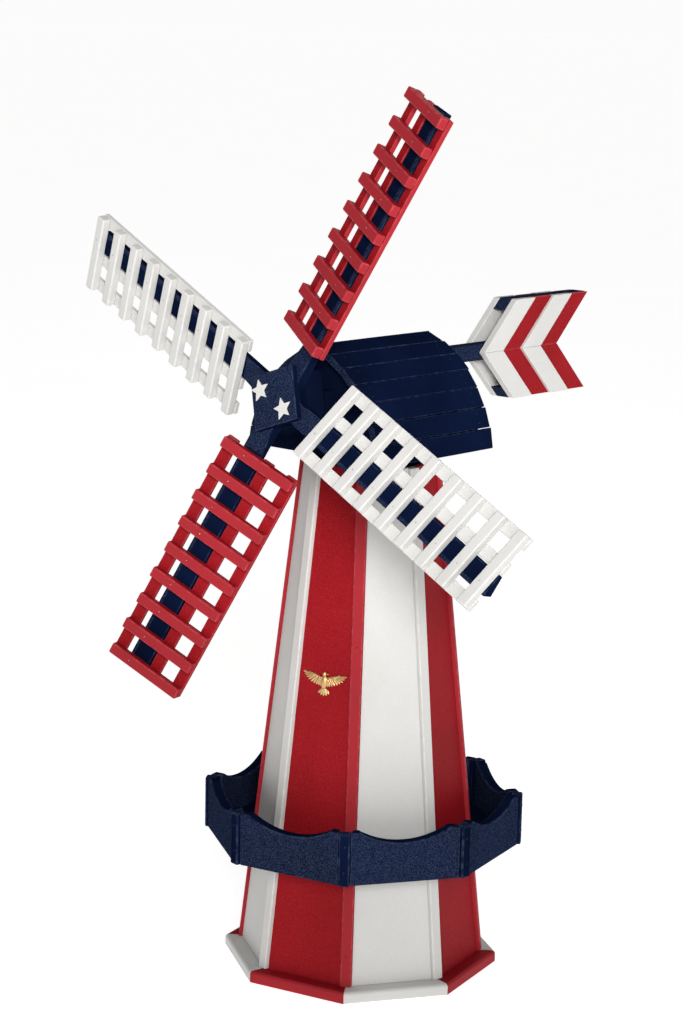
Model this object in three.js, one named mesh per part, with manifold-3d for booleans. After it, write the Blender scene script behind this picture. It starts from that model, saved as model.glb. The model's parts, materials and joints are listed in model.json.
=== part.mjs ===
// Garden windmill: an eight-sided tower of tapered boards with a planter round its foot, a barrel-roofed
// head that swivels on the tower, a four-blade lattice wheel on a tilted axle and a chevron tail vane.
// Millimetres, +Z up. The origin is on the ground, on the tower's axis. The tower's front is -Y.
import * as THREE from "three";
import { mergeVertices } from "three/addons/utils/BufferGeometryUtils.js";
import Module from "manifold-3d";

const wasm = await Module();
wasm.setup();

// ---------------------------------------------------------------- driving dimensions
const GAP = 0.3;                 // clearance between separate pieces
const SIDES = 8;                 // sides of the tower and of the planter
const STEP = (2 * Math.PI) / SIDES;
const HALF = STEP / 2;

const POST = 19;                 // square section of the corner posts
const POST_PROUD = 3;            // post face beyond the corner of the board faces
const POST_LAP = 1;              // a board's end reaches this far into its own post

const TOWER_FOOT = 194.5;        // face distance from the axis, carried down to the ground
const TOWER_TAPER = 0.1022;      // how much that distance shrinks per unit of height
const WALL_T = 12.7;
const WALL_TOP = 872;
const TOP_PLATE_T = 12.7;

const RAIL_OUT = 217.5;          // outer face of the base rails
const RAIL_W = 38;
const RAIL_H = 20;
const RAIL_ROUND = 5;
const BASE_PLATE_T = 19;

const PLANTER_OUT = 250.3;       // outer face of the planter boards
const PLANTER_Z = 215.5;
const PLANTER_H = 89;
const BOARD_T = 19;
const SCALLOP_HALF = 76;         // half the chord of the cut in a board's top edge
const SCALLOP_DEEP = 21;
const PLANTER_POST_PROUD = 1.5;
const FLOOR_T = 12.7;

const BIRD_Z = 514;              // middle of the bird on the front panel
const BIRD_WING = 40;
const BIRD_T = 4;

const BEARING_OUT = 72;          // turntable rings
const BEARING_IN = 42;
const BEARING_T = 8.8;
const LOWER_RING_Z = WALL_TOP + GAP;
const UPPER_RING_Z = LOWER_RING_Z + BEARING_T + GAP;
const HEAD_BASE = UPPER_RING_Z + BEARING_T + GAP;

const HEAD_TURN = -12.63;        // degrees, the head's heading on the tower
const HEAD_HALF = 145;           // half the roof's length
const ROOF_R = 208.7;            // radius of each side of the pointed arch
const ROOF_OFF = 63.5;           // each arc's centre lies this far beyond the middle
const ROOF_CENTRE_Z = 875.3;
const ROOF_SLATS = 7;            // slats on each side
const ROOF_T = 12;
const GABLE_INSET = 19;
const GABLE_T = 19;
const GABLE_BORE = 10.2;         // radius of the gable's hole round the axle
const HEAD_FLOOR_T = 19;
const FLOOR_SIDE_GAP = 1.2;      // the floor's edge to the straight slats of the arch

const BOOM_H = 28;
const BOOM_W = 26;
const BOOM_Z = 1013.5;           // underside of the tail boom
const BOOM_END = 470;

const AXLE_R = 6.35;
const AXLE_BORE = 6.75;          // radius of the holes that the axle turns in
const AXLE_TILT = 12.7;          // degrees, the wheel leans back
const HUB_Y = -237.9;            // middle of the blades' front plane, in the head
const HUB_Z = 995.9;
const WHEEL_TURN = 25.2;         // degrees, the first blade from the top of the wheel
const HUB_SIDE = 89;
const HUB_PLATE_T = 12.7;
const HUB_PLATE_PROUD = 0.6;     // the plate's front face before the blades' front plane
const HUB_BLOCK_T = 39.3;
const AXLE_BLOCK = 60;           // width of the blocks that the axle turns in
const AXLE_BLOCK_T = 19;
const AXLE_BLOCK_REAR = 0;       // front face of the rear block, in the head
const COLLAR_R = 11;             // spacer, bolt head and nut round the axle
const BOLT_HEAD_T = 8;
const NUT_T = 10;
const NUT_SLACK = 4.75;          // from the rear block to the nut
const BOLT_TAIL = 8;             // thread beyond the nut

const SPAR_W = 36;
const SPAR_T = 19;
const SPAR_END = 526;
const SPAR_RAMP = [45, 96];      // where the spar's bevel begins, and where it has its full depth
const BLADE_PITCH = 20.6;        // degrees
const BLADE_START = 98.8;
const BLADE_LEFT = -98.1;        // the lattice's edges, across the blade
const BLADE_RIGHT = 43.2;
const RIB_W = 19;                // cross slats
const RIB_T = 15;
const RIB_STEP = 50.8;
const RIBS = 9;
const LONG_SLAT_W = 21.1;        // lengthwise slats
const LONG_SLAT_T = 8.4;
const LONG_SLATS = [BLADE_LEFT, -50, BLADE_RIGHT - LONG_SLAT_W];

const VANE_START = 263;          // front tip of the tail's chevrons
const VANE_MID = BOOM_Z + BOOM_H / 2;
const VANE_HALF = 87.5;
const VANE_STEP = 53.2;
const VANES = 4;
const VANE_T = [13, 8];          // white boards are thicker than red ones
const VANE_SPACER_H = 19;

const ROUND = 24;                // sides of a small turned piece
const RING_SIDES = 48;

// ---------------------------------------------------------------- materials
const material = (color, roughness, metalness = 0) =>
  new THREE.MeshStandardMaterial({ color, roughness, metalness });
const RED = material(0x9c1c21, 0.55);
const WHITE = material(0xe2e0dc, 0.55);
const NAVY = material(0x141932, 0.55);
const STEEL = material(0xb8babc, 0.35, 0.9);
const GOLD = material(0xc8a05a, 0.4, 0.6);

// ---------------------------------------------------------------- solids
function toSolid(geometry) {
  const bare = geometry.index ? geometry.toNonIndexed() : geometry.clone();
  bare.deleteAttribute("normal");
  bare.deleteAttribute("uv");
  const merged = mergeVertices(bare, 1e-4);
  const vertProperties = new Float32Array(merged.attributes.position.array);
  const triVerts = new Uint32Array(merged.index.array);
  return new wasm.Manifold(new wasm.Mesh({ numProp: 3, vertProperties, triVerts }));
}

function toGeometry(solid) {
  const mesh = solid.getMesh();
  const geometry = new THREE.BufferGeometry();
  geometry.setAttribute("position", new THREE.BufferAttribute(new Float32Array(mesh.vertProperties), 3));
  geometry.setIndex(new THREE.BufferAttribute(new Uint32Array(mesh.triVerts), 1));
  return geometry;
}

function join(geometries) {
  return toGeometry(geometries.map(toSolid).reduce((whole, next) => whole.add(next)));
}

function cut(geometry, tools) {
  return toGeometry(tools.map(toSolid).reduce((whole, tool) => whole.subtract(tool), toSolid(geometry)));
}

// A closed solid through rings of points: each ring is a convex outline with the same number of points.
function loft(rings) {
  const count = rings[0].length;
  const positions = rings.flat(2);
  const index = [];
  for (let ring = 0; ring < rings.length - 1; ring++) {
    for (let i = 0; i < count; i++) {
      const a = ring * count + i;
      const b = ring * count + ((i + 1) % count);
      index.push(a, b, b + count, a, b + count, a + count);
    }
  }
  const last = (rings.length - 1) * count;
  for (let i = 1; i < count - 1; i++) {
    index.push(0, i + 1, i, last, last + i, last + i + 1);
  }
  const geometry = new THREE.BufferGeometry();
  geometry.setAttribute("position", new THREE.Float32BufferAttribute(positions, 3));
  geometry.setIndex(index);
  return geometry;
}

function box(x, y, z) {
  const geometry = new THREE.BoxGeometry(x[1] - x[0], y[1] - y[0], z[1] - z[0]);
  geometry.translate((x[0] + x[1]) / 2, (y[0] + y[1]) / 2, (z[0] + z[1]) / 2);
  return geometry;
}

// A board on the front side of the octagon. Its profile is [distance from the axis, height] points,
// anticlockwise with distance to the right, and its ends stand back from the corner's radial plane.
function sideBoard(profile, leftBack, rightBack) {
  const reach = (r, back) => r * Math.tan(HALF) - back / Math.cos(HALF);
  const right = profile.map(([r, z]) => [reach(r, rightBack), -r, z]);
  const left = profile.map(([r, z]) => [-reach(r, leftBack), -r, z]);
  return loft([right, left]);
}

// The profile of a board of even thickness whose outer face is at outer(z).
function slab(outer, thickness, z0, z1) {
  return [
    [outer(z0) - thickness, z0], [outer(z0), z0], [outer(z1), z1], [outer(z1) - thickness, z1],
  ];
}

// A post on the corner to the right of the front side, from height z0 to z1, with its face at outer(z).
function cornerPost(outer, z0, z1) {
  const ring = (z) => [
    [POST / 2, -outer(z), z],
    [POST / 2, -outer(z) + POST, z],
    [-POST / 2, -outer(z) + POST, z],
    [-POST / 2, -outer(z), z],
  ];
  const geometry = loft([ring(z0), ring(z1)]);
  geometry.rotateZ(HALF);
  return geometry;
}

function octagonShape(apothem) {
  const radius = apothem / Math.cos(HALF);
  const shape = new THREE.Shape();
  for (let i = 0; i < SIDES; i++) {
    const angle = HALF + i * STEP;
    const point = [radius * Math.sin(angle), -radius * Math.cos(angle)];
    if (i === 0) shape.moveTo(...point);
    else shape.lineTo(...point);
  }
  return shape;
}

function plate(shape, z0, thickness) {
  const geometry = new THREE.ExtrudeGeometry(shape, { depth: thickness, bevelEnabled: false });
  geometry.translate(0, 0, z0);
  return geometry;
}

// A tube round the Y axis, from y0 to y1.
function tube(outer, inner, y0, y1, sides) {
  const profile = [[inner, y0], [outer, y0], [outer, y1], [inner, y1], [inner, y0]];
  return new THREE.LatheGeometry(profile.map(([r, y]) => new THREE.Vector2(r, y)), sides);
}

function mesh(parent, name, geometry, finish) {
  const piece = new THREE.Mesh(geometry, finish);
  piece.name = name;
  parent.add(piece);
  return piece;
}

// ---------------------------------------------------------------- tower
const faceAt = (z) => TOWER_FOOT - TOWER_TAPER * z;
const cornerAt = (z) => faceAt(z) / Math.cos(HALF);

function buildTower(parent) {
  const z0 = RAIL_H + GAP;
  const wall = sideBoard(slab(faceAt, WALL_T, z0, WALL_TOP), POST / 2 + GAP, POST / 2 - POST_LAP);
  const post = cornerPost((z) => cornerAt(z) + POST_PROUD, z0, WALL_TOP);
  const panel = join([wall, post]);

  const railProfile = [[RAIL_OUT - RAIL_W, 0], [RAIL_OUT, 0]];
  const steps = 4;
  for (let i = 0; i <= steps; i++) {
    const turn = (i / steps) * (Math.PI / 2);
    const r = RAIL_OUT - RAIL_ROUND + RAIL_ROUND * Math.cos(turn);
    railProfile.push([r, RAIL_H - RAIL_ROUND + RAIL_ROUND * Math.sin(turn)]);
  }
  railProfile.push([RAIL_OUT - RAIL_W, RAIL_H]);
  const rail = sideBoard(railProfile, GAP / 2, GAP / 2);

  for (let side = 0; side < SIDES; side++) {
    const finish = side % 2 === 0 ? RED : WHITE;
    mesh(parent, `wall_panel_${side + 1}`, panel, finish).rotation.z = side * STEP;
    mesh(parent, `base_rail_${side + 1}`, rail, finish).rotation.z = side * STEP;
  }

  const bottomFormer = plate(octagonShape(RAIL_OUT - RAIL_W - GAP), 0, BASE_PLATE_T);
  mesh(parent, "bottom_former", bottomFormer, NAVY);
  // The top plate's corners meet the inner faces of the posts.
  const cornerReach = cornerAt(WALL_TOP) + POST_PROUD - POST - GAP;
  const topShape = octagonShape(cornerReach * Math.cos(HALF));
  const topPlate = plate(topShape, WALL_TOP - TOP_PLATE_T, TOP_PLATE_T);
  mesh(parent, "top_plate", topPlate, NAVY);
}

// A spread-winged bird, drawn on the front panel.
function buildBird(parent) {
  const outline = new THREE.Shape();
  outline.moveTo(0, -22);
  outline.quadraticCurveTo(10, -21, 8, -9);
  outline.quadraticCurveTo(16, -13, 21, -3);
  outline.quadraticCurveTo(27, -6, 30, 5);
  outline.quadraticCurveTo(36, 3, BIRD_WING, 17);
  outline.quadraticCurveTo(27, 17, 19, 13);
  outline.quadraticCurveTo(10, 9, 5, 13);
  outline.quadraticCurveTo(6, 22, 0, 23);
  outline.quadraticCurveTo(-6, 22, -5, 13);
  outline.quadraticCurveTo(-10, 9, -19, 13);
  outline.quadraticCurveTo(-27, 17, -BIRD_WING, 17);
  outline.quadraticCurveTo(-36, 3, -30, 5);
  outline.quadraticCurveTo(-27, -6, -21, -3);
  outline.quadraticCurveTo(-16, -13, -8, -9);
  outline.quadraticCurveTo(-10, -21, 0, -22);
  const options = { depth: BIRD_T, bevelEnabled: false, curveSegments: 5 };
  const geometry = new THREE.ExtrudeGeometry(outline, options);
  geometry.translate(0, 0, GAP);
  const bird = mesh(parent, "bird_ornament", geometry, GOLD);
  bird.position.set(0, -faceAt(BIRD_Z), BIRD_Z);
  bird.rotation.x = Math.PI / 2 - Math.atan(TOWER_TAPER);
}

// ---------------------------------------------------------------- planter
function buildPlanter(parent) {
  const top = PLANTER_Z + PLANTER_H;
  const face = () => PLANTER_OUT;
  const plain = sideBoard(slab(face, BOARD_T, PLANTER_Z, top), POST / 2 + GAP, POST / 2 - POST_LAP);
  const radius = (SCALLOP_HALF ** 2 + SCALLOP_DEEP ** 2) / (2 * SCALLOP_DEEP);
  const scallop = new THREE.CylinderGeometry(radius, radius, 2 * BOARD_T, 96);
  scallop.translate(0, -(PLANTER_OUT - BOARD_T / 2), top - SCALLOP_DEEP + radius);
  const post = cornerPost(() => PLANTER_OUT / Math.cos(HALF) + PLANTER_POST_PROUD, PLANTER_Z, top);
  const board = join([cut(plain, [scallop]), post]);
  for (let side = 0; side < SIDES; side++) {
    mesh(parent, `planter_board_${side + 1}`, board, NAVY).rotation.z = side * STEP;
  }

  // The floor is a ring between the planter's boards and the tower's posts.
  const shape = octagonShape(PLANTER_OUT - BOARD_T - GAP);
  const postReach = cornerAt(PLANTER_Z) + POST_PROUD + 2 * GAP;
  const holeRadius = postReach + (POST / 2) * Math.tan(HALF);
  shape.holes.push(octagonShape(holeRadius * Math.cos(HALF)));
  mesh(parent, "planter_floor", plate(shape, PLANTER_Z, FLOOR_T), NAVY);
}

// ---------------------------------------------------------------- turntable
function turntableRing(z0) {
  const ring = tube(BEARING_OUT, BEARING_IN, 0, BEARING_T, RING_SIDES);
  ring.rotateX(Math.PI / 2);
  ring.translate(0, 0, z0);
  return ring;
}

// ---------------------------------------------------------------- head
// One side of the pointed arch, inset from the roof's outer face, from the eave up to the ridge.
function archSide(inset, steps, baseZ) {
  const radius = ROOF_R - inset;
  const from = Math.asin((baseZ - ROOF_CENTRE_Z) / radius);
  const to = Math.acos(ROOF_OFF / radius);
  const points = [];
  for (let i = 0; i <= steps; i++) {
    const turn = from + ((to - from) * i) / steps;
    points.push([radius * Math.cos(turn) - ROOF_OFF, ROOF_CENTRE_Z + radius * Math.sin(turn)]);
  }
  return points;
}

function archOutline(inset, steps, baseZ) {
  const right = archSide(inset, steps, baseZ);
  const left = right.slice(0, -1).reverse().map(([x, z]) => [-x, z]);
  return [...right, ...left];
}

// Extrudes an outline in X and Z along Y.
function alongY(points, y0, y1) {
  const shape = new THREE.Shape(points.map(([x, z]) => new THREE.Vector2(x, z)));
  const geometry = new THREE.ExtrudeGeometry(shape, { depth: y1 - y0, bevelEnabled: false });
  geometry.rotateX(Math.PI / 2);
  geometry.translate(0, y1, 0);
  return geometry;
}

// A bore round the tilted axle, in the head's own frame.
function axleBore(radius) {
  const bore = new THREE.CylinderGeometry(radius, radius, 4 * HEAD_HALF, ROUND);
  bore.translate(0, 2 * HEAD_HALF, 0);
  bore.rotateX(-THREE.MathUtils.degToRad(AXLE_TILT));
  bore.translate(0, HUB_Y, HUB_Z);
  return bore;
}

// The axle's height where it crosses the plane at y, in the head.
const axleHeight = (y) => HUB_Z - (y - HUB_Y) * Math.tan(THREE.MathUtils.degToRad(AXLE_TILT));

function buildHead(head) {
  const outer = archSide(0, ROOF_SLATS, HEAD_BASE);
  const inner = archSide(ROOF_T, ROOF_SLATS, HEAD_BASE).reverse();
  const rightSide = [...outer, ...inner].map(([x, z]) => [x + GAP / 2, z]);
  const leftSide = rightSide.map(([x, z]) => [-x, z]);
  mesh(head, "roof_right", alongY(rightSide, -HEAD_HALF, HEAD_HALF), NAVY);
  mesh(head, "roof_left", alongY(leftSide, -HEAD_HALF, HEAD_HALF), NAVY);

  const gableOutline = archOutline(ROOF_T + 2 * GAP, ROOF_SLATS, HEAD_BASE);
  const gableFront = -HEAD_HALF + GABLE_INSET;
  const gableBack = gableFront + GABLE_T;
  const gable = alongY(gableOutline, gableFront, gableBack);
  mesh(head, "front_gable", cut(gable, [axleBore(GABLE_BORE)]), NAVY);

  const rearFace = HEAD_HALF - GABLE_INSET;
  const boomSlot = box(
    [-BOOM_W / 2 - GAP, BOOM_W / 2 + GAP],
    [rearFace - 2 * GABLE_T, rearFace + GABLE_T],
    [BOOM_Z - GAP, BOOM_Z + BOOM_H + GAP],
  );
  const rear = alongY(gableOutline, rearFace - GABLE_T, rearFace);
  mesh(head, "rear_gable", cut(rear, [boomSlot]), NAVY);

  const floorTop = HEAD_BASE + HEAD_FLOOR_T;
  const floorHalf = archSide(ROOF_T + FLOOR_SIDE_GAP, 1, floorTop)[0][0];
  const floorEnd = -gableBack - GAP;
  const floor = box([-floorHalf, floorHalf], [-floorEnd, floorEnd], [HEAD_BASE, floorTop]);
  mesh(head, "head_floor", floor, NAVY);

  const bore = axleBore(AXLE_BORE);
  const half = AXLE_BLOCK / 2;
  const frontBlock = box(
    [-half, half],
    [gableFront - GAP - AXLE_BLOCK_T, gableFront - GAP],
    [axleHeight(gableFront) - half, axleHeight(gableFront) + half],
  );
  mesh(head, "axle_block_front", cut(frontBlock, [bore]), NAVY);
  const rearBlock = box(
    [-half, half],
    [AXLE_BLOCK_REAR, AXLE_BLOCK_REAR + AXLE_BLOCK_T],
    [floorTop + GAP, axleHeight(AXLE_BLOCK_REAR) + half],
  );
  mesh(head, "axle_block_rear", cut(rearBlock, [bore]), NAVY);
}

// ---------------------------------------------------------------- tail
// A chevron board pointing forward: its front tip is at y, and its thickness runs from x0 to x1.
function chevron(y, depth, x0, x1) {
  const tip = VANE_HALF;
  const shape = new THREE.Shape();
  shape.moveTo(y, 0);
  shape.lineTo(y + tip, -tip);
  shape.lineTo(y + tip + depth, -tip);
  shape.lineTo(y + depth, 0);
  shape.lineTo(y + tip + depth, tip);
  shape.lineTo(y + tip, tip);
  const geometry = new THREE.ExtrudeGeometry(shape, { depth: x1 - x0, bevelEnabled: false });
  geometry.rotateX(Math.PI / 2);
  geometry.rotateZ(Math.PI / 2);
  geometry.translate(x0, 0, VANE_MID);
  return geometry;
}

function buildTail(head) {
  const boomStart = -HEAD_HALF + GABLE_INSET + GABLE_T + GAP;
  const boom = box([-BOOM_W / 2, BOOM_W / 2], [boomStart, BOOM_END], [BOOM_Z, BOOM_Z + BOOM_H]);
  mesh(head, "tail_boom", boom, NAVY);

  for (let i = 0; i < VANES; i++) {
    const y = VANE_START + i * VANE_STEP;
    const inside = BOOM_W / 2 + GAP;
    const outside = inside + VANE_T[i % 2];
    const finish = i % 2 === 0 ? WHITE : RED;
    const depth = VANE_STEP - GAP;
    mesh(head, `chevron_right_${i + 1}`, chevron(y, depth, inside, outside), finish);
    mesh(head, `chevron_left_${i + 1}`, chevron(y, depth, -outside, -inside), finish);
  }

  const length = VANES * VANE_STEP - GAP;
  const strip = (far, near, low) => {
    const ring = (x) => [
      [x, VANE_START + near, VANE_MID + low * near],
      [x, VANE_START + near + length, VANE_MID + low * near],
      [x, VANE_START + far + length, VANE_MID + low * far],
      [x, VANE_START + far, VANE_MID + low * far],
    ];
    const ends = low > 0 ? [-BOOM_W / 2, BOOM_W / 2] : [BOOM_W / 2, -BOOM_W / 2];
    return loft([ring(ends[0]), ring(ends[1])]);
  };
  mesh(head, "tail_spacer_top", strip(VANE_HALF, VANE_HALF - VANE_SPACER_H, 1), NAVY);
  mesh(head, "tail_spacer_bottom", strip(VANE_HALF, VANE_HALF - VANE_SPACER_H, -1), NAVY);
}

// ---------------------------------------------------------------- wheel
// Along the spar +Z, across the blade +X, and -Y to the front. The blades' front plane is at y = 0.
const PLATE_BACK = HUB_PLATE_T - HUB_PLATE_PROUD;
const SPAR_FRONT = PLATE_BACK + GAP;
const SPAR_BACK = SPAR_FRONT + SPAR_T;
const PITCH = THREE.MathUtils.degToRad(BLADE_PITCH);

// The left of the spar's front is bevelled to the blade's pitch, and the lattice beds on the bevel.
function sparGeometry() {
  const half = SPAR_W / 2;
  const crease = (RIB_T + GAP) / Math.sin(PITCH) - SPAR_FRONT / Math.tan(PITCH);
  const deepest = SPAR_FRONT + (crease + half) * Math.tan(PITCH);
  const ring = (z, leftFace) => [
    [crease, SPAR_FRONT, z], [half, SPAR_FRONT, z], [half, SPAR_BACK, z], [-half, SPAR_BACK, z],
    [-half, leftFace, z],
  ];
  return loft([
    ring(half + GAP, SPAR_FRONT),
    ring(SPAR_RAMP[0], SPAR_FRONT),
    ring(SPAR_RAMP[1], deepest),
    ring(SPAR_END, deepest),
  ]);
}

// Cross slats in front and lengthwise slats behind, joined where they cross.
function latticeGeometry() {
  const bite = 0.2;
  const end = BLADE_START + (RIBS - 1) * RIB_STEP + RIB_W;
  const slats = [];
  for (let i = 0; i < RIBS; i++) {
    const z = BLADE_START + i * RIB_STEP;
    slats.push(box([BLADE_LEFT, BLADE_RIGHT], [0, RIB_T], [z, z + RIB_W]));
  }
  for (const x of LONG_SLATS) {
    slats.push(box([x, x + LONG_SLAT_W], [RIB_T - bite, RIB_T + LONG_SLAT_T], [BLADE_START, end]));
  }
  const geometry = join(slats);
  geometry.rotateZ(-PITCH);
  return geometry;
}

// A long hexagon-headed bolt. Its head sits between the spars, and a nut behind the rear block holds it.
function axleGeometry() {
  const headBack = SPAR_BACK;
  const headFront = headBack - BOLT_HEAD_T;
  const rodStart = (headFront + headBack) / 2;
  const nutFront = alongAxle(AXLE_BLOCK_REAR + AXLE_BLOCK_T) + NUT_SLACK;
  const nutBack = nutFront + NUT_T;
  const end = nutBack + BOLT_TAIL;
  const stations = [
    [0, rodStart], [AXLE_R, rodStart],
    [AXLE_R, nutFront], [COLLAR_R, nutFront], [COLLAR_R, nutBack], [AXLE_R, nutBack],
    [AXLE_R, end], [0, end],
  ].map(([r, y]) => new THREE.Vector2(r, y));
  const rod = new THREE.LatheGeometry(stations, ROUND);
  const hexagonHead = new THREE.CylinderGeometry(COLLAR_R, COLLAR_R, BOLT_HEAD_T, 6);
  hexagonHead.translate(0, rodStart, 0);
  return join([rod, hexagonHead]);
}

// Distance from the blades' front plane, along the axle, to the plane at y in the head.
function alongAxle(y) {
  return (y - HUB_Y) / Math.cos(THREE.MathUtils.degToRad(AXLE_TILT));
}

function buildWheel(wheel) {
  mesh(wheel, "wheel_axle", axleGeometry(), STEEL);

  const side = HUB_SIDE / 2;
  const hubBack = SPAR_BACK + GAP + HUB_BLOCK_T;
  const front = box([-side, side], [-HUB_PLATE_PROUD, PLATE_BACK], [-side, side]);
  const block = box([-side, side], [SPAR_BACK + GAP, hubBack], [-side, side]);
  const bore = new THREE.CylinderGeometry(AXLE_BORE, AXLE_BORE, 4 * HUB_BLOCK_T, ROUND);
  const hubTurn = -Math.PI / 4;
  mesh(wheel, "hub_front_plate", front, NAVY).rotation.y = hubTurn;
  mesh(wheel, "hub_block", cut(block, [bore]), NAVY).rotation.y = hubTurn;

  const blockFace = -HEAD_HALF + GABLE_INSET - GAP - AXLE_BLOCK_T;
  const spacerEnd = alongAxle(blockFace) - COLLAR_R * Math.tan(THREE.MathUtils.degToRad(AXLE_TILT)) - GAP;
  mesh(wheel, "axle_spacer", tube(COLLAR_R, AXLE_BORE, hubBack + GAP, spacerEnd, ROUND), STEEL);

  const spar = sparGeometry();
  const lattice = latticeGeometry();
  for (let i = 0; i < 4; i++) {
    const turn = (i * Math.PI) / 2;
    mesh(wheel, `spar_${i + 1}`, spar, NAVY).rotation.y = turn;
    mesh(wheel, `lattice_${i + 1}`, lattice, i % 2 === 0 ? RED : WHITE).rotation.y = turn;
  }
}

// ---------------------------------------------------------------- assembly
const windmill = new THREE.Group();
buildTower(windmill);
buildBird(windmill);
buildPlanter(windmill);
mesh(windmill, "turntable_lower", turntableRing(LOWER_RING_Z), STEEL);

const head = new THREE.Group();
head.rotation.z = THREE.MathUtils.degToRad(HEAD_TURN);
windmill.add(head);
mesh(head, "turntable_upper", turntableRing(UPPER_RING_Z), STEEL);
buildHead(head);
buildTail(head);

const axle = new THREE.Group();
axle.position.set(0, HUB_Y, HUB_Z);
axle.rotation.x = -THREE.MathUtils.degToRad(AXLE_TILT);
head.add(axle);
const wheel = new THREE.Group();
wheel.rotation.y = THREE.MathUtils.degToRad(WHEEL_TURN);
axle.add(wheel);
buildWheel(wheel);

export default windmill;
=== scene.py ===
"""The looks of a garden windmill, drawn round its CAD frame: boards, screws, a bird and steel."""

import json
import math
import random

import bmesh
import bpy
from mathutils import Matrix, Vector


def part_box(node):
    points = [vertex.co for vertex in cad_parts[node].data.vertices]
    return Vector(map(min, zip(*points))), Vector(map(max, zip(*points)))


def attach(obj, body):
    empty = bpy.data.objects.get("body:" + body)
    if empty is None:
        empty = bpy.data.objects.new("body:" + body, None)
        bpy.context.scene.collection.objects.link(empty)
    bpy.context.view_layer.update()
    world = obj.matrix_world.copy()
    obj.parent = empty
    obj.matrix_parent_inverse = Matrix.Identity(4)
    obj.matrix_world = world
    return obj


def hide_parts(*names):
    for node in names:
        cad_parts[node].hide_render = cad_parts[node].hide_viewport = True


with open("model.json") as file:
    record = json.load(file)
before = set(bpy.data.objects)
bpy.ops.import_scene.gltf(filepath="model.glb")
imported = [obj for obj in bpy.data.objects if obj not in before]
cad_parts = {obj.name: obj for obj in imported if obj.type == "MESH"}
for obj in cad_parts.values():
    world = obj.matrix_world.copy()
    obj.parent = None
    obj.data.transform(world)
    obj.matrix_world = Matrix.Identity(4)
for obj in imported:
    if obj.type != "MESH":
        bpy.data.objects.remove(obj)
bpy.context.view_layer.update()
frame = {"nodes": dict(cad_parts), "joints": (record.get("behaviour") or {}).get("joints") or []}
random.seed(7)

# ------------------------------------------------------------ dimensions, in millimetres
MM = 0.001                      # a millimetre, in metres
SIDES = 8
STEP = 2 * math.pi / SIDES      # turn from one side of the octagon to the next
HALF = STEP / 2                 # turn from the middle of a side to its corner
SEAM = 0.2                      # hairline between two boards
GAP = 0.3                       # clearance between separate pieces
SEAT = 0.05                     # between a board and the screw heads on it

POST = 19                       # width of a corner post, on the tower and the planter
POST_PROUD = 3                  # a tower post's outer face past the panels' corner
POST_SCREWS = (0.06, 0.36, 0.66, 0.95)      # shares of a tower post's height
TOWER_FOOT = 194.5              # axis to a wall panel's outer face, at the ground
TOWER_TAPER = 0.1022            # what that distance loses per millimetre of height
WALL_T = 12.7

RAIL_OUT = 217.5                # axis to a base rail's outer face
RAIL_W = 38
RAIL_CHAMFER = 1                # at its lower outer edge
RAIL_ROUND = 6                  # at its upper outer edge
RAIL_ROUND_STEPS = 6
RAIL_SCREW_X = 55               # a rail's screws, to both sides of its middle
RAIL_SCREW_IN = 13              # and in from its outer face

RING_INNER = 42                 # turntable rings
RING_OUTER = 72
RING_RACE = ((9, 0), (11.5, 1.8), (16, 1.8), (18.5, 0))     # groove: (in from the rim, depth)

PLANTER_OUT = 250.3             # axis to a planter board's outer face
PLANTER_BOARD_T = 19
PLANTER_POST_PROUD = 1.5        # a planter post's outer face past the boards' corner
PLANTER_SCREWS = (0.27, 0.76)   # shares of a planter post's height
SCALLOP_HALF = 76               # half the width of the dip in a board's top edge
SCALLOP_DEEP = 21
SCALLOP_STEPS = 24

BIRD_Z = 514                    # height of the bird's middle
BIRD_FLIGHTS = 9                # long feathers of a wing
BIRD_COVERTS = 6                # shorter feathers over them
BIRD_TAIL = 5
FEATHER_STEPS = 7
FEATHER_SECTION = ((-1, 0), (-0.8, 0.45), (0, 1), (0.8, 0.45), (1, 0))      # (across, up)
EGG_RINGS = 7
EGG_CLOSED = 6.4                # the ring number where an egg would close, past its last ring
EGG_SIDES = 20

HEAD_HALF = 145                 # half the roof's length
ROOF_R = 208.7                  # radius of the two arcs of the pointed arch
ROOF_OFF = 63.5                 # how far each arc's centre is past the ridge
ROOF_CENTRE_Z = 875.3
ROOF_SLATS = 7                  # on each side
ROOF_T = 12
ROOF_GAP = 1.3                  # between two slats
ROOF_NAIL = 8                   # a slat's nails, to both sides of its middle
SLAT_STATIONS = (0, 0.25, 0.5, 0.75, 1)     # shares of a slat's length
SLAT_SINK = 0.25                # keeps a bowed slat inside the CAD roof
GABLE_INSET = 19                # from the roof's end to the gable
GABLE_T = 19

BOOM_W = 26
VANES = 4                       # chevrons on each side of the tail
VANE_HALF = 87.5                # half a chevron's height
VANE_STEP = 53.2                # from one chevron to the next
VANE_T = (13, 8)                # white and red chevrons
VANE_START = 263                # from the tower's axis back to the first chevron
VANE_NAILS = (5, 9)             # from the boom's middle line, and from the tip

BLADES = 4
BLADE_PITCH = math.radians(20.6)        # out of the wheel's plane
BLADE_START = 98.8              # axle to the first cross slat
BLADE_LEFT = -98.1              # edges of a blade, from the middle of its spar
BLADE_RIGHT = 43.2
CROSS_SLATS = 9
CROSS_SLAT_STEP = 50.8
CROSS_SLAT_W = 19
CROSS_SLAT_T = 15
LONG_SLAT_W = 21.1
LONG_SLAT_T = 8.4
LONG_SLATS = (BLADE_LEFT, -50, BLADE_RIGHT - LONG_SLAT_W)       # their left edges

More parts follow.
